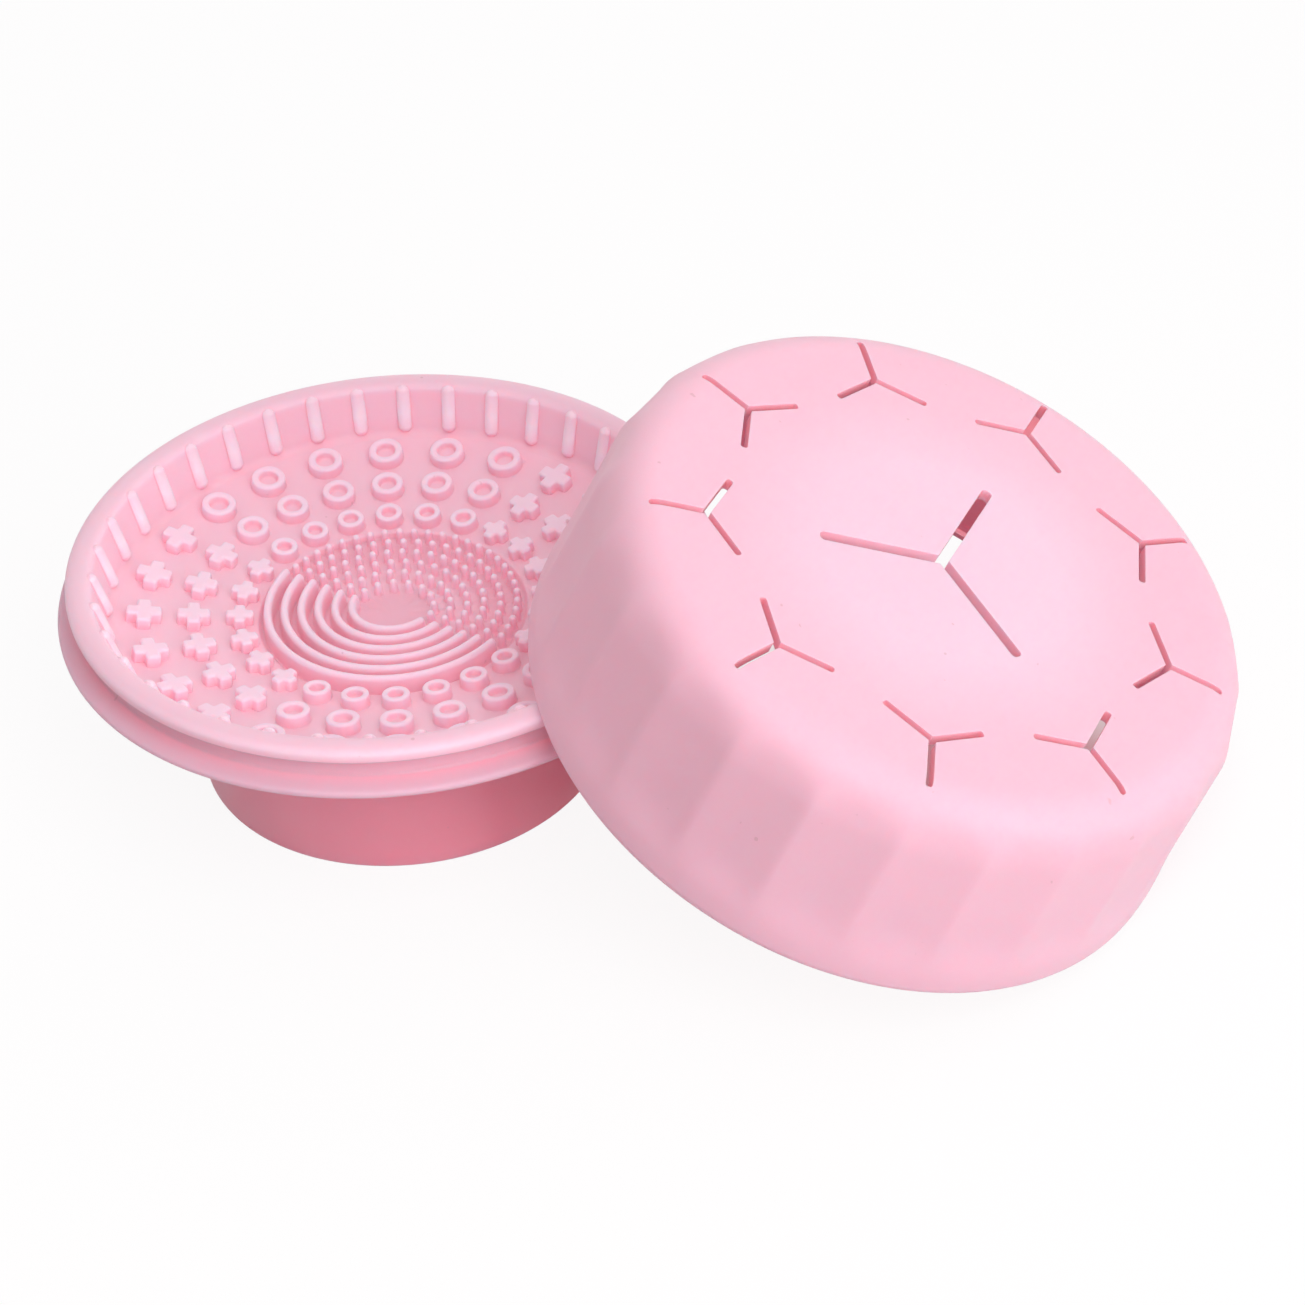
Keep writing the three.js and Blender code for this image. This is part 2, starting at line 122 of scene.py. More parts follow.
bmesh.ops.translate(dish_form, verts=dish_form.verts, vec=dish_axis)

# ---- Dish: ribs of the bowl's wall
# Upright round-ended ribs, half sunk in the wall, from just above the floor to the lip's crown.
# They are part of the same moulding, and a brush is drawn across them to open its hairs.
rib_count = 38
rib_first = 6  # degrees from +X
rib_radius = 0.00125
rib_foot = Vector((0.0463, 0, 0.0314))
rib_top = Vector((0.04785, 0, 0.0372))

wall_ribs = bmesh.new()
bmesh.ops.create_uvsphere(wall_ribs, u_segments=20, v_segments=14, radius=rib_radius)
upper = [corner for corner in wall_ribs.verts if corner.co.z > weld]
bmesh.ops.translate(wall_ribs, verts=upper, vec=(0, 0, (rib_top - rib_foot).length))
wall_draft = Matrix.Rotation(math.atan2(rib_top.x - rib_foot.x, rib_top.z - rib_foot.z), 3, "Y")
bmesh.ops.rotate(wall_ribs, verts=wall_ribs.verts, matrix=wall_draft)
bmesh.ops.translate(wall_ribs, verts=wall_ribs.verts, vec=rib_foot)


def ringed(form, count, turn, first, centre):
    """Copies a shape round an upright axis: count of them, a turn apart, from a first angle."""
    bmesh.ops.rotate(form, verts=form.verts, matrix=Matrix.Rotation(math.radians(first), 3, "Z"))
    bmesh.ops.spin(
        form, geom=form.verts[:] + form.edges[:] + form.faces[:], cent=(0, 0, 0), axis=(0, 0, 1),
        angle=math.radians(turn * (count - 1)), steps=count - 1,
        use_merge=False, use_duplicate=True,
    )
    bmesh.ops.translate(form, verts=form.verts, vec=centre)


def joined(form, other, change="UNION"):
    """Grows a shape out of a form, or cuts it out of it, and leaves one closed skin."""
    blanks = []
    for name, each in (("form", form), ("other", other)):
        mesh = bpy.data.meshes.new(name)
        each.to_mesh(mesh)
        each.free()
        blanks.append(bpy.data.objects.new(name, mesh))
        bpy.context.scene.collection.objects.link(blanks[-1])
    step = blanks[0].modifiers.new("step", "BOOLEAN")
    step.operation, step.solver, step.object = change, "MANIFOLD", blanks[1]
    ready = blanks[0].evaluated_get(bpy.context.evaluated_depsgraph_get())
    result = bmesh.new()
    result.from_mesh(ready.to_mesh())
    ready.to_mesh_clear()
    for blank in blanks:
        mesh = blank.data
        bpy.data.objects.remove(blank)
        bpy.data.meshes.remove(mesh)
    return result


ringed(wall_ribs, rib_count, 360 / rib_count, rib_first, dish_axis)
dish_form = joined(dish_form, wall_ribs)

# ---- Dish: ring studs and cross studs
# Three rows of soft studs on the bowl's floor, in four sectors of six: rings with a blind bore in
# two of them and crosses in the other two. They are moulded with the floor and stand square to it.
stud_rows = (  # the row's radius, a stud's width, a ring's bore, a cross's arm
    (25.1, 4.5, 2.45, 1.85), (32.5, 5.4, 3, 2.2), (40.5, 5.8, 3.2, 2.35),
)
stud_height = 2.1
stud_root = -0.6  # a stud starts inside the floor
studs_per_sector = 6
stud_turn = 15
cross_sector_middle = 32.2
ring_facets = 28
rim_rounding = 0.4  # of a ring's wall
bore_floor = 0.8
ring_flare = 0.25  # how much wider a ring is where it meets the floor
cross_rounding = 0.00052
corner_angle = 1  # edges that turn more than this many radians are rounded
root_edges = -0.0005  # the sum of the heights of an edge's ends, below which it stays sharp


def on_the_floor(stud, radius, sector_middle):
    """Stands a stud on the bowl's floor, square to it, and copies it through its sector."""
    slope = Matrix.Rotation(-math.asin(radius / bowl_sphere), 3, "Y")
    foot = (radius / 1000, 0, floor_height(radius) / 1000)
    first = sector_middle - (studs_per_sector - 1) / 2 * stud_turn
    bmesh.ops.rotate(stud, verts=stud.verts, matrix=slope)
    bmesh.ops.translate(stud, verts=stud.verts, vec=foot)
    ringed(stud, studs_per_sector, stud_turn, first, dish_axis)


def add_to(whole, part):
    """Adds a shape to a collection of shapes."""
    mesh = bpy.data.meshes.new("part")
    part.to_mesh(mesh)
    part.free()
    whole.from_mesh(mesh)
    bpy.data.meshes.remove(mesh)


ring_studs = bmesh.new()
for radius, width, bore, _ in stud_rows:
    outside, inside, top = width / 2, bore / 2, stud_height
    edge = (outside - inside) * rim_rounding
    flared = outside + ring_flare
    stud_outline = outline(
        (0, bore_floor), (inside - 0.4, bore_floor),
        ((inside - 0.2, bore_floor), (inside - 0.08, 0.9), (inside - 0.06, 1.1), 3),
        (inside, top - edge),
        ((inside, top - edge / 3), (inside + edge / 3, top), (inside + edge, top), 4),
        (outside - edge, top),
        ((outside - edge / 3, top), (outside, top - edge / 3), (outside, top - edge), 4),
        (outside + 0.03, 0.3),
        ((outside + 0.04, 0.16), (outside + 0.1, 0.06), (flared, -0.03), 3),
        (flared, stud_root), (0, stud_root),
    )
    for turn in (90, 270):
        stud = spun(stud_outline, ring_facets)
        on_the_floor(stud, radius, cross_sector_middle + turn)
        add_to(ring_studs, stud)
dish_form = joined(dish_form, ring_studs)

cross_studs = bmesh.new()
for radius, width, _, arm in stud_rows:
    core = (arm / 1000, arm / 1000, (stud_height - stud_root) / 1000)
    lift = (0, 0, (stud_height + stud_root) / 2000)
    for turn in (0, 180):
        stud = bmesh.new()
        bmesh.ops.create_cube(stud, size=1)
        bmesh.ops.scale(stud, verts=stud.verts, vec=core)
        bmesh.ops.translate(stud, verts=stud.verts, vec=lift)
        sides = [face for face in stud.faces if abs(face.normal.z) < 0.5]
        for arm_end in bmesh.ops.extrude_discrete_faces(stud, faces=sides)["faces"]:
            reach = arm_end.normal * (width - arm) / 2000
            bmesh.ops.translate(stud, verts=arm_end.verts, vec=reach)
        bmesh.ops.remove_doubles(stud, verts=stud.verts, dist=weld)
        bmesh.ops.recalc_face_normals(stud, faces=stud.faces)
        shaped = [
            edge for edge in stud.edges
            if (not edge.is_convex or edge.calc_face_angle(0) > corner_angle)
            and sum(corner.co.z for corner in edge.verts) > root_edges
        ]
        bmesh.ops.bevel(
            stud, geom=shaped, offset=cross_rounding, offset_type="OFFSET", segments=4,
            profile=0.5, affect="EDGES", material=-1, clamp_overlap=True,
        )
        on_the_floor(stud, radius, cross_sector_middle + turn)
        add_to(cross_studs, stud)
dish_form = joined(dish_form, cross_studs)

# ---- Dish: centre pad
# One half of the pad has six round-crested ridges, the other six rows of fine nubs on the same
# circles, and a smooth disc is left in the middle. A straight line parts the two halves.
pad_rings = [6.7 + 2.74 * i for i in range(6)]
pad_root = -0.4  # ridges and nubs start inside the pad's floor
divider = 169  # degrees from +X to the line
ridge_height, ridge_growth = 2.8, 0.11  # the innermost ridge, and what each next one adds
ridge_gap = 1.55  # from the line to the middle of a ridge's round end
nub_height, nub_growth = 2.35, 0.07
nub_spacing = 2.5
nub_facets = 10

pad_ridges = bmesh.new()
for i, radius in enumerate(pad_rings):
    crest = ridge_height + ridge_growth * i
    half = (
        (0, pad_root), (1.05, pad_root), (1.05, -0.02), (0.88, 0.12), (0.8, 0.4),
        (0.7, crest - 0.8), (0.6, crest - 0.42), (0.42, crest - 0.15), (0.2, crest - 0.03),
    )
    side = [Vector((x / 1000, 0, (pad_floor + z) / 1000)) for x, z in half]
    tip = Vector((0, 0, (pad_floor + crest) / 1000))
    section = [*side, tip, *(Vector((-point.x, 0, point.z)) for point in side[:0:-1])]
    inset = math.degrees(ridge_gap / radius)
    ridge = bmesh.new()
    for start, sweep, points, centre, steps in (
        (divider + inset, 180 - 2 * inset, section, 0, 12 + 10 * i),
        (divider + inset, -180, [*side, tip], radius / 1000, 8),
        (divider + 180 - inset, 180, [*side, tip], radius / 1000, 8),
    ):
        placed = [point + Vector((radius / 1000, 0, 0)) for point in points]
        part = spun(placed, steps, math.radians(sweep), (centre, 0, 0), closed=points is section)
        facing = Matrix.Rotation(math.radians(start), 3, "Z")
        bmesh.ops.rotate(part, verts=part.verts, matrix=facing)
        add_to(ridge, part)
    bmesh.ops.remove_doubles(ridge, verts=ridge.verts, dist=2 * weld)
    bmesh.ops.recalc_face_normals(ridge, faces=ridge.faces)
    add_to(pad_ridges, ridge)
bmesh.ops.translate(pad_ridges, verts=pad_ridges.verts, vec=dish_axis)
dish_form = joined(dish_form, pad_ridges)

pad_nubs = bmesh.new()
for i, radius in enumerate(pad_rings):
    tip = pad_floor + nub_height + nub_growth * i
    nub_outline = outline(
        (0, tip), ((0.36, tip), (0.57, tip - 0.22), (0.6, tip - 0.6), 3), (0.68, pad_floor + 0.4),
        ((0.71, pad_floor + 0.2), (0.76, pad_floor), (0.9, pad_floor - 0.05), 2),
        (0.9, pad_floor + pad_root), (0, pad_floor + pad_root),
    )
    count = round(math.pi * radius / nub_spacing)
    nub = spun(nub_outline, nub_facets)
    bmesh.ops.translate(nub, verts=nub.verts, vec=(radius / 1000, 0, 0))
    ringed(nub, count, -180 / count, divider - 90 / count, dish_axis)
    add_to(pad_nubs, nub)
dish_form = joined(dish_form, pad_nubs)

# ---- Dish: its silicone
# Soft matte silicone, slightly translucent: faint clouding, the fine grain of the mould, a few
# specks of lint and scattered light. Painted shade makes it deeper pink in nooks, on the wall
# between the ribs and on the foot under the flange, and painted light makes it palest on the ribs,
# studs and ridges, which stand out and are thin.
cloud_scale, cloud_tone = 22, (0.99, 0.965, 0.972)
# The nook values set the painted shade: how far it looks for cover, and where it is full.
nook_shade_reach, nook_shade_closed = 0.0045, 0.4  # how far a nook sees, and its openness at full depth
lint_scale, lint_tone, lint_cover = 560, (0.58, 0.34, 0.38), 0.45
lint_from, lint_full = 0.785, 0.82  # only the few highest peaks of the noise are specks
polish_scale, least_rough, most_rough = 160, 0.5, 0.62
grain_scale, grain_depth, grain_strength = 3200, 0.0001, 0.12
crease = 50  # edges that turn by more than this many degrees stay sharp


def silicone(name, tones, nook_shade_tone, open_at, centre, stretch, scatter=0.002):
    """Matte silicone whose tone follows the distance from a place, with painted shade in nooks.

    tones pairs each distance with a colour, some of them painted light and shade, and a spot
    as open as open_at gets no painted nook shade.
    """
    material = bpy.data.materials.new(name)
    material.use_nodes = True
    nodes, links = material.node_tree.nodes, material.node_tree.links
    shader = nodes["Principled BSDF"]
    place = nodes.new("ShaderNodeTexCoord").outputs["Object"]

    def noise(scale, detail):
        node = nodes.new("ShaderNodeTexNoise")
        node.inputs["Scale"].default_value = scale
        node.inputs["Detail"].default_value = detail
        links.new(place, node.inputs["Vector"])
        return node.outputs["Fac"]

    def ranged(value, low, high, to_low, to_high):
        node = nodes.new("ShaderNodeMapRange")
        for socket, number in zip(list(node.inputs)[1:5], (low, high, to_low, to_high)):
            socket.default_value = number
        links.new(value, node.inputs["Value"])
        return node.outputs["Result"]

    def mixed(factor, first, second, blend="MIX"):
        node = nodes.new("ShaderNodeMix")
        node.data_type = "RGBA"
        node.blend_type = blend
        links.new(factor, node.inputs["Factor"])
        links.new(first, node.inputs["A"])
        node.inputs["B"].default_value = (*second, 1)
        return node.outputs["Result"]

    away = place
    for operation, value in (("SUBTRACT", centre), ("MULTIPLY", stretch), ("LENGTH", None)):
        node = nodes.new("ShaderNodeVectorMath")
        node.operation = operation
        links.new(away, node.inputs[0])
        if value:
            node.inputs[1].default_value = value
        away = node.outputs["Value" if operation == "LENGTH" else "Vector"]
    ramp = nodes.new("ShaderNodeValToRGB")
    stops = ramp.color_ramp.elements
    for _ in tones[2:]:
        stops.new(0.5)
    nearest, farthest = tones[0][0], tones[-1][0]
    for stop, (distance, tone) in zip(stops, tones):
        stop.position = (distance - nearest) / (farthest - nearest)
        stop.color = (*tone, 1)
    links.new(ranged(away, nearest, farthest, 0, 1), ramp.inputs["Fac"])

    cloud = ranged(noise(cloud_scale, 3), 0.35, 0.65, 0, 1)
    clouded = mixed(cloud, ramp.outputs["Color"], cloud_tone, "MULTIPLY")
    # Painted shade: where the silicone's own shape hides a spot, its tone turns to the nook shade
    # tone.
    nook_shade = nodes.new("ShaderNodeAmbientOcclusion")
    nook_shade.samples, nook_shade.only_local = 4, True
    nook_shade.inputs["Distance"].default_value = nook_shade_reach
    shaded = mixed(ranged(nook_shade.outputs["AO"], nook_shade_closed, open_at, 1, 0), clouded, nook_shade_tone)
    lint = ranged(noise(lint_scale, 1), lint_from, lint_full, 0, lint_cover)
    links.new(mixed(lint, shaded, lint_tone), shader.inputs["Base Color"])
    polish = ranged(noise(polish_scale, 4), 0.3, 0.7, least_rough, most_rough)
    links.new(polish, shader.inputs["Roughness"])
    grain = nodes.new("ShaderNodeBump")
    grain.inputs["Strength"].default_value = grain_strength
    grain.inputs["Distance"].default_value = grain_depth
    links.new(noise(grain_scale, 2), grain.inputs["Height"])
    links.new(grain.outputs["Normal"], shader.inputs["Normal"])
    for socket, value in (
        ("Subsurface Weight", 0.8), ("Subsurface Radius", (1, 0.36, 0.42)),
        ("Subsurface Scale", scatter), ("Specular IOR Level", 0.4),
        ("Sheen Weight", 0.12), ("Sheen Roughness", 0.5),
    ):
        shader.inputs[socket].default_value = value
    return material


def moulded(form, name, body, *finishes):
    """A finished moulding that rides on a body, with the silicones that its faces name."""
    mesh = bpy.data.meshes.new(name)
    form.to_mesh(mesh)
    form.free()
    mesh.shade_smooth()
    mesh.set_sharp_from_angle(angle=math.radians(crease))
    for finish in finishes:
        mesh.materials.append(finish)
    made = bpy.data.objects.new(name, mesh)
    bpy.context.scene.collection.objects.link(made)
    even = made.modifiers.new("even_shading", "WEIGHTED_NORMAL")
    even.keep_sharp = True
    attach(made, body)
    return made


# The floor, studs and pad go by the distance from the centre of the bowl's sphere, a nearer place
# being a higher one, and the wall, ribs and outside by the height above the table. Most steps of
# these tones are painted light and shade rather than the silicone's own colour.
bowl_centre = dish_axis + Vector((0, 0, bowl_centre_height / 1000))
from_bowl_centre, by_height = (bowl_centre, (1, 1, 1)), ((0, 0, 0), (0, 0, 1))
# Painted light and shade: crests and stud tops paler, the pad's floor and places below the bowl's
# floor a deeper pink.
floor_tones_lit_and_shaded = (
    (0.2165, (0.9, 0.7, 0.81)), (0.2182, (0.9, 0.71, 0.82)), (0.2191, (0.89, 0.64, 0.75)),
    (0.2197, (0.84, 0.48, 0.58)), (0.21988, (0.84, 0.48, 0.58)), (0.21996, (0.89, 0.6, 0.7)),
    (0.2201, (0.89, 0.6, 0.7)), (0.2204, (0.84, 0.46, 0.56)),
)
# Painted light and shade: the wall painted paler, as if lit through from outside, and the crown
# darker, against the light from above.
wall_tones_lit_and_shaded = (
    (0.0295, (0.9, 0.61, 0.71)), (0.032, (1, 0.64, 0.75)), (0.0369, (1, 0.64, 0.75)),
    (0.0378, (0.96, 0.7, 0.81)), (0.0386, (0.86, 0.6, 0.705)),
)
# Painted light: the ribs paler than the wall, palest half way up.
rib_tones_painted_light = ((0.032, (1, 0.76, 0.86)), (0.034, (1, 0.84, 0.93)), (0.0384, (0.96, 0.72, 0.82)))
# Painted shade: the outside darker than the bowl, and the foot under the flange a deep pink.
outer_tones_painted_shade = ((0.0242, (0.93, 0.36, 0.46)), (0.0262, (0.72, 0.49, 0.59)))
# Painted shade for nooks, inside the bowl and on the outside.
bowl_nook_shade, outer_nook_shade = (0.98, 0.56, 0.66), (1, 0.44, 0.54)
dish_lit_and_shaded_silicones = (
    silicone("dish_floor_silicone", floor_tones_lit_and_shaded, bowl_nook_shade, 0.76, *from_bowl_centre),
    silicone("dish_wall_silicone", wall_tones_lit_and_shaded, bowl_nook_shade, 0.88, *by_height),
    silicone("dish_rib_silicone", rib_tones_painted_light, bowl_nook_shade, 0.7, *by_height),
    silicone("dish_outer_silicone", outer_tones_painted_shade, outer_nook_shade, 0.8, *by_height),
)
# Each face takes one of four lit and shaded copies of the dish's pink, by where it lies.
floor_edge = 45  # the floor's silicone ends at this radius, in mm
wall_lean = 0.234  # how far the wall leans out for each mm up
rib_proud = 0.12  # what stands out of the wall by more than this is a rib
rib_lowest = 30.6
lip_underside = 36.5
groove_radius = 49.5
bowl_thickness = 1.5  # what is deeper than this under the bowl's floor is outside
on_wall, on_rib, on_outside = 1, 2, 3  # places in dish_lit_and_shaded_silicones, after the floor's
for face in dish_form.faces:
    middle = (face.calc_center_median() - dish_axis) * 1000
    radius = middle.xy.length
    wall_radius = wall_foot[0] + (middle.z - wall_foot[1]) * wall_lean
    under_bowl = middle.z < floor_height(min(radius, 46)) - bowl_thickness
    if middle.z < lip_underside and (radius > groove_radius or under_bowl):
        face.material_index = on_outside
    elif floor_edge < radius < wall_radius - rib_proud and middle.z > rib_lowest:
        face.material_index = on_rib
    elif radius > floor_edge:
        face.material_index = on_wall
dish = moulded(dish_form, "dish_moulding", "dish", *dish_lit_and_shaded_silicones)
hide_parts("scrubbing_dish")

# ---- Cap: fluted dome with Y-shaped slits
# The cap is a second silicone moulding, loose, leaning on the dish's lip with its mouth down. Its
# wall has shallow hollow flutes, and its flat top is cut right through by ten Y-shaped slits.
cap_lean = math.radians(24)
cap_mouth = (0.035877, 0, 0.021586)  # the middle of the mouth
cap_place = Matrix.Translation(cap_mouth) @ Matrix.Rotation(cap_lean, 4, "Y")
flute_count = 24
flute_facets = 16
flute_depth = 0.00075
flute_turn = 0.6  # degrees
flute_foot, foot_fade = 4, 8.5  # where the flutes begin, and the height over which they deepen
flute_head, head_fade = 35.8, 6
cap_outline = outline(
    # the flat top, the shoulder and the wall's outside
    (0, 37.4), (15, 37.4), (30, 37.4), (44.2, 37.4), (44.8, 37.4),
    ((49.2, 37.4), (52.7, 33), (52.7, 27.4), 16),
    ((52.99, 21), (53.28, 14.6), (53.57, 8.2), 14), ((53.67, 6.8), (53.78, 5.4), (53.85, 4), 4),
    # the mouth's round edge
    (53.85, 1.6), ((53.85, 0.65), (53.5, 0.05), (52.95, 0.05), 5),
    ((52.6, 0.05), (52.35, 0.2), (52.3, 0.7), 4),
    # the bead that snaps into the dish's groove
    (52.3, 1.5), ((52.2, 2.2), (50.7, 2), (50.65, 2.6), 5),
    ((50.7, 3.2), (52.2, 3), (52.3, 3.8), 5),
    # the wall's inside and the ceiling
    (52.3, 7.4), (50.6, 27.4), ((50.6, 32), (47.5, 35.3), (43.4, 35.3), 10),
    (20, 35.3), (0, 35.3),
)
cap_form = spun(cap_outline, flute_facets * flute_count)
for corner in cap_form.verts:
    radius, height = math.hypot(corner.co.x, corner.co.y) * 1000, corner.co.z * 1000
    # the bend of the shoulder parts the outside, which is fluted, from the ceiling and inner wall
    outer_wall = radius > 51.5 - 0.05 * max(0, height - 27) ** 2 and radius > 45.5
    inner_wall = radius < 52.4 and height < 20
    if not outer_wall or inner_wall or height < 4.5:
        continue
    risen = min(1, max(0, (height - flute_foot) / foot_fade))
    fade = min(1, max(0, (flute_head - height) / head_fade)) * risen
    fade = fade * fade * (3 - 2 * fade)
    angle = math.degrees(math.atan2(corner.co.y, corner.co.x)) + flute_turn
    across = 2 * (angle / 360 * flute_count % 1) - 1
    pull = 1 - fade * flute_depth * (1 - across**2) / (radius / 1000)
    corner.co.x *= pull
    corner.co.y *= pull

slits = [(38.1, 5.64 + 40 * i, 9, 1.15) for i in range(9)]  # radius, turn, arm and width
slits.append((0, 85.64, 20, 1.8))
slit_bottom, slit_depth = 31, 8  # the cutters pass right through the top
slit_cutters = bmesh.new()
for radius, angle, arm, width in slits:
    cutter = bmesh.new()
    bmesh.ops.create_circle(cutter, segments=3, radius=width / math.sqrt(3), cap_ends=True)
    for edge in list(cutter.edges):
        middle = (edge.verts[0].co + edge.verts[1].co) / 2
        grown = bmesh.ops.extrude_edge_only(cutter, edges=[edge])["geom"]
        ends = [item for item in grown if isinstance(item, bmesh.types.BMVert)]
        bmesh.ops.translate(cutter, verts=ends, vec=middle.normalized() * (arm - middle.length))
    grown = bmesh.ops.extrude_face_region(cutter, geom=cutter.faces[:])["geom"]
    raised = [item for item in grown if isinstance(item, bmesh.types.BMVert)]
    bmesh.ops.translate(cutter, verts=raised, vec=(0, 0, slit_depth))
    bmesh.ops.recalc_face_normals(cutter, faces=cutter.faces)
    tips = [
        edge for edge in cutter.edges
        if abs(edge.verts[0].co.z - edge.verts[1].co.z) > 1
        and edge.verts[0].co.xy.length > arm / 2
    ]
    bmesh.ops.bevel(
        cutter, geom=tips, offset=width * 0.4, offset_type="OFFSET", segments=4, profile=0.5,
        affect="EDGES", material=-1,
    )
    facing = Matrix.Rotation(math.radians(angle), 3, "Z")
    bmesh.ops.rotate(cutter, verts=cutter.verts, matrix=Matrix.Rotation(math.pi / 2, 3, "Z"))
    bmesh.ops.translate(cutter, verts=cutter.verts, vec=(radius, 0, slit_bottom))
    bmesh.ops.rotate(cutter, verts=cutter.verts, matrix=facing)
    bmesh.ops.scale(cutter, verts=cutter.verts, vec=(0.001, 0.001, 0.001))
    add_to(slit_cutters, cutter)
cap_form = joined(cap_form, slit_cutters, "DIFFERENCE")

inside_radius, ceiling, inside_sum = 51.2, 35.6, 81.8  # in mm, the sum being radius and height
# Faces of the inside and the ceiling take the painted coral glow.
for face in cap_form.faces:
    middle = face.calc_center_median() * 1000
    radius = middle.xy.length
    if radius < inside_radius and middle.z < ceiling and radius + middle.z < inside_sum:
        face.material_index = 1
cap_form.transform(cap_place)

# The cap's tone is a little cooler near the middle of its top, a painted reflection of the bright
# sky. Its inside is painted coral and glows weakly, which stands for the light that comes through
# the wall, and the slits' sides count as nooks and take painted shade.
from_cap_top = (cap_place @ Vector((0, 0, 0.0374)), (1, 1, 1))
cap_tones_painted_reflection = ((0.02, (0.84, 0.61, 0.73)), (0.034, (0.86, 0.545, 0.655)))
cap_pink = silicone("cap_silicone", cap_tones_painted_reflection, (0.98, 0.46, 0.54), 0.62, *from_cap_top)
inside_tones_painted_glow = ((0.02, (0.98, 0.5, 0.55)), (0.034, (0.98, 0.5, 0.55)))
inside_pink = silicone(
    "cap_inside_silicone", inside_tones_painted_glow, (0.98, 0.46, 0.52), 0.95, *from_cap_top, scatter=0.005,
)
inside_glow = inside_pink.node_tree.nodes["Principled BSDF"].inputs
inside_glow["Emission Color"].default_value = (1, 0.45, 0.52, 1)
inside_glow["Emission Strength"].default_value = 0.3
cap = moulded(cap_form, "cap_moulding", "cap", cap_pink, inside_pink)
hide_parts("drying_cap")

# ---- Setting: floor, light and camera
# A plain pale floor, daylight from all round that is stronger above, a large lamp in front on the
# right, a low one on the right that fills the flutes, and a weak one behind. The camera has the
# lens, the height and the slight roll that the photograph was taken with.
floor_size = 4
floor_tone, floor_bounce = (0.93, 0.93, 0.93, 1), (0.57, 0.5, 0.52, 1)
shade_place = (0.045, 0.02, 0)  # the floor under the cap, which shows its own shade
floor_clearness = ((0.022, 0), (0.05, 0.9), (0.35, 0.9), (0.8, 1))  # by the distance from there
white = (1, 1, 1, 1)
sky_tone = (1, 0.88, 0.9, 1)
sky_low, sky_high = 0.3, 0.78  # strength at the horizon and straight above


def looked_at(nodes, links):
    """Gives 1 to a look, straight, in a gloss or through glass, and 0 to other light."""
    path = nodes.new("ShaderNodeLightPath")
    looks = path.outputs["Is Camera Ray"]
    for kind in ("Is Glossy Ray", "Is Transmission Ray"):
        either = nodes.new("ShaderNodeMath")
        either.operation = "MAXIMUM"
        links.new(looks, either.inputs[0])
        links.new(path.outputs[kind], either.inputs[1])
        looks = either.outputs["Value"]
    return looks


floor_form = bmesh.new()
bmesh.ops.create_grid(floor_form, x_segments=2, y_segments=2, size=floor_size)
floor_mesh = bpy.data.meshes.new("floor")
floor_form.to_mesh(floor_mesh)
floor_form.free()
floor = bpy.data.objects.new("floor", floor_mesh)
bpy.context.scene.collection.objects.link(floor)

floor_paint = bpy.data.materials.new("floor_paint")
floor_paint.use_nodes = True
paint_nodes, paint_links = floor_paint.node_tree.nodes, floor_paint.node_tree.links
paint_nodes.clear()
matte = paint_nodes.new("ShaderNodeBsdfDiffuse")
tone = paint_nodes.new("ShaderNodeMix")
tone.data_type = "RGBA"
tone.inputs["A"].default_value = floor_bounce
tone.inputs["B"].default_value = floor_tone
bright = paint_nodes.new("ShaderNodeEmission")
bright.inputs["Color"].default_value = white
where = paint_nodes.new("ShaderNodeTexCoord")
from_shade = paint_nodes.new("ShaderNodeVectorMath")
from_shade.operation = "DISTANCE"
from_shade.inputs[1].default_value = shade_place
clear = paint_nodes.new("ShaderNodeValToRGB")
clear_stops = clear.color_ramp.elements
for _ in floor_clearness[2:]:
    clear_stops.new(0.5)
for stop, (distance, amount) in zip(clear_stops, floor_clearness):
    stop.position = distance
    stop.color = (amount, amount, amount, 1)
share = paint_nodes.new("ShaderNodeMath")
share.operation = "MULTIPLY"
blend = paint_nodes.new("ShaderNodeMixShader")
paint_out = paint_nodes.new("ShaderNodeOutputMaterial")
seen = looked_at(paint_nodes, paint_links)
for given, taken in (
    (seen, tone.inputs["Factor"]),
    (tone.outputs["Result"], matte.inputs["Color"]),
    (where.outputs["Object"], from_shade.inputs[0]),
    (from_shade.outputs["Value"], clear.inputs["Fac"]),
    (seen, share.inputs[0]),
    (clear.outputs["Color"], share.inputs[1]),
    (share.outputs["Value"], blend.inputs["Fac"]),
    (matte.outputs["BSDF"], blend.inputs[1]),
    (bright.outputs["Emission"], blend.inputs[2]),
    (blend.outputs["Shader"], paint_out.inputs["Surface"]),
):
    paint_links.new(given, taken)
floor_mesh.materials.append(floor_paint)

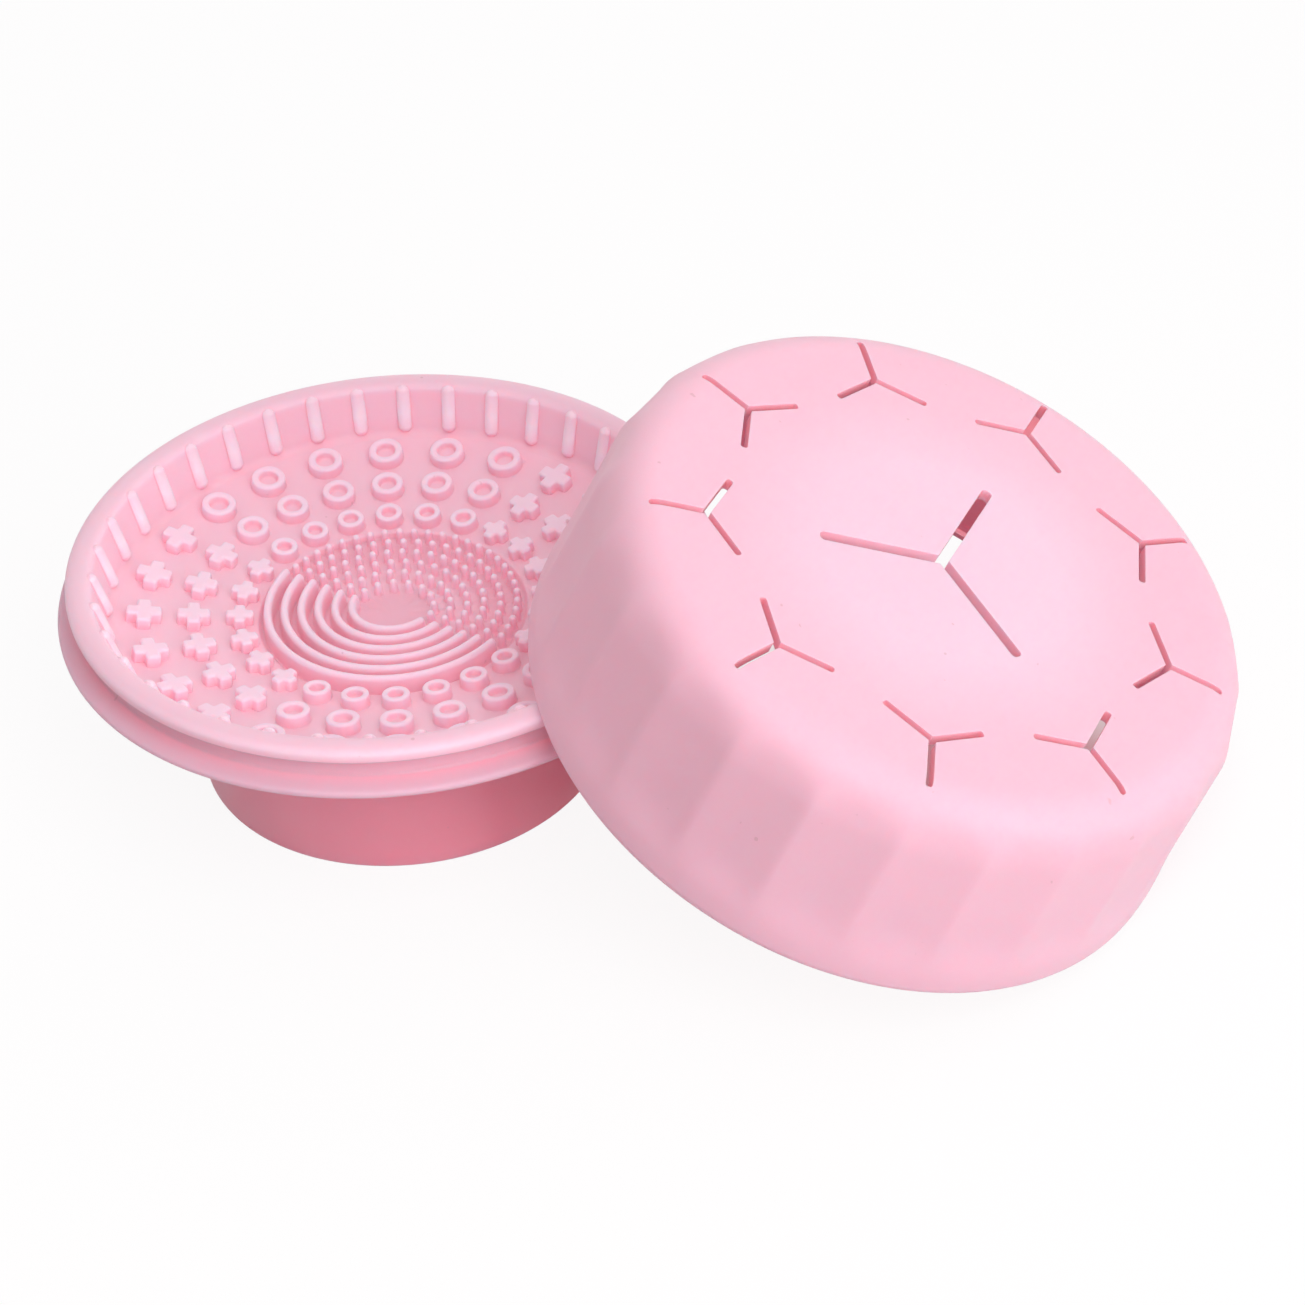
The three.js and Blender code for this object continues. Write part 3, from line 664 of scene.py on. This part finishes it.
world = bpy.data.worlds.new("daylight")
bpy.context.scene.world = world
world.use_nodes = True
sky_nodes, sky_links = world.node_tree.nodes, world.node_tree.links
sky_nodes.clear()
soft = sky_nodes.new("ShaderNodeBackground")
soft.inputs["Color"].default_value = sky_tone
view = sky_nodes.new("ShaderNodeTexCoord")
up = sky_nodes.new("ShaderNodeSeparateXYZ")
brighter = sky_nodes.new("ShaderNodeMapRange")
for socket, number in zip(list(brighter.inputs)[1:5], (0, 1, sky_low, sky_high)):
    socket.default_value = number
background = sky_nodes.new("ShaderNodeBackground")
background.inputs["Color"].default_value = white
choice = sky_nodes.new("ShaderNodeMixShader")
sky_out = sky_nodes.new("ShaderNodeOutputWorld")
for given, taken in (
    (view.outputs["Generated"], up.inputs["Vector"]),
    (up.outputs["Z"], brighter.inputs["Value"]),
    (brighter.outputs["Result"], soft.inputs["Strength"]),
    (looked_at(sky_nodes, sky_links), choice.inputs["Fac"]),
    (soft.outputs["Background"], choice.inputs[1]),
    (background.outputs["Background"], choice.inputs[2]),
    (choice.outputs["Shader"], sky_out.inputs["Surface"]),
):
    sky_links.new(given, taken)


def lamp(name, position, size, power):
    """A square soft lamp that points at the object."""
    light = bpy.data.lights.new(name, "AREA")
    light.size, light.energy = size, power
    holder = bpy.data.objects.new(name, light)
    bpy.context.scene.collection.objects.link(holder)
    holder.location = position
    aim = Vector((0, 0, 0.03)) - Vector(position)
    holder.rotation_euler = aim.to_track_quat("-Z", "Y").to_euler()


lamp("key_lamp", (0.46, -0.54, 0.85), 0.8, 5.6)
lamp("side_lamp", (0.92, -0.36, 0.2), 0.6, 4.8)
lamp("back_lamp", (-0.3, 0.9, 0.35), 0.8, 1.5)

camera_turn, camera_dip, camera_roll = 22.2115, 37.5853, -3.3944  # degrees
camera_data = bpy.data.cameras.new("camera")
camera_data.lens = 100.488
camera_data.sensor_width = 36
camera = bpy.data.objects.new("camera", camera_data)
bpy.context.scene.collection.objects.link(camera)
camera.location = dish_axis + Vector((0.219396, -0.426473, 0.381984))
turned = Euler((0, 0, math.radians(camera_turn))).to_matrix()
dipped = Euler((math.radians(90 - camera_dip), 0, 0)).to_matrix()
rolled = Euler((0, 0, math.radians(camera_roll))).to_matrix()
camera.rotation_euler = (turned @ dipped @ rolled).to_euler()
bpy.context.scene.camera = camera
bpy.context.scene.view_settings.view_transform = "Standard"
